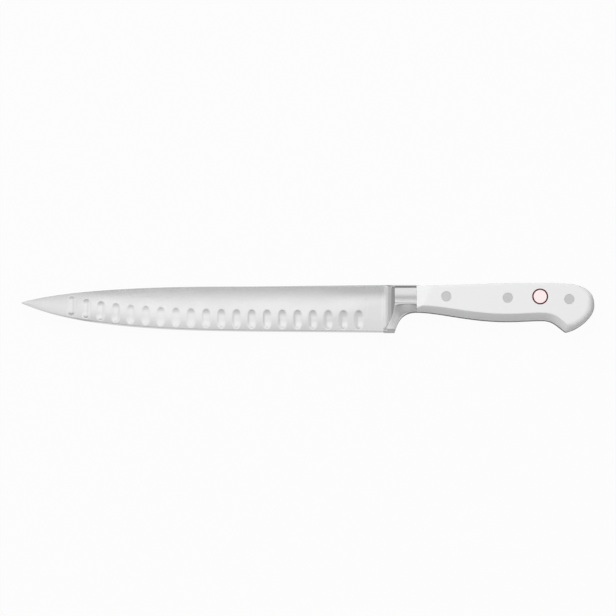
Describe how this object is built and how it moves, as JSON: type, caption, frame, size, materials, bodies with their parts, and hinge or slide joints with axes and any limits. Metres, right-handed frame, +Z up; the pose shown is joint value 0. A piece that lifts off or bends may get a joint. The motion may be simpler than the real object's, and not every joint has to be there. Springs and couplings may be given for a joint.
{
  "type": "ham knife",
  "caption": "Long slim ham slicing knife with oval hollows along both sides of the edge, a forged bolster with a finger curve, and a riveted full-tang handle that hooks down at the butt.",
  "frame": {"origin": "middle of the knife's box, on the surface that the right scale lies on", "axes": "+X from the tip to the butt, +Y from the cutting edge to the spine, +Z up through the thickness from the right side to the left"},
  "size_m": [0.3532, 0.031, 0.0194],
  "materials": {
    "blade_steel": "satin ground stainless steel",
    "white_scale": "cool white moulded plastic with a soft sheen",
    "rivet_steel": "flush ground steel",
    "badge_inlay": "pale inlay with a plain dark red ring, no mark"
  },
  "bodies": {
    "root": {"forged_blade": "blade_steel", "left_scale": "white_scale", "right_scale": "white_scale", "front_rivet_sleeve": "rivet_steel", "front_rivet_stud": "rivet_steel", "middle_rivet_sleeve": "rivet_steel", "middle_rivet_stud": "rivet_steel", "rear_rivet_sleeve": "rivet_steel", "rear_rivet_stud": "rivet_steel", "badge_disc": "badge_inlay"}
  },
  "joints": []
}
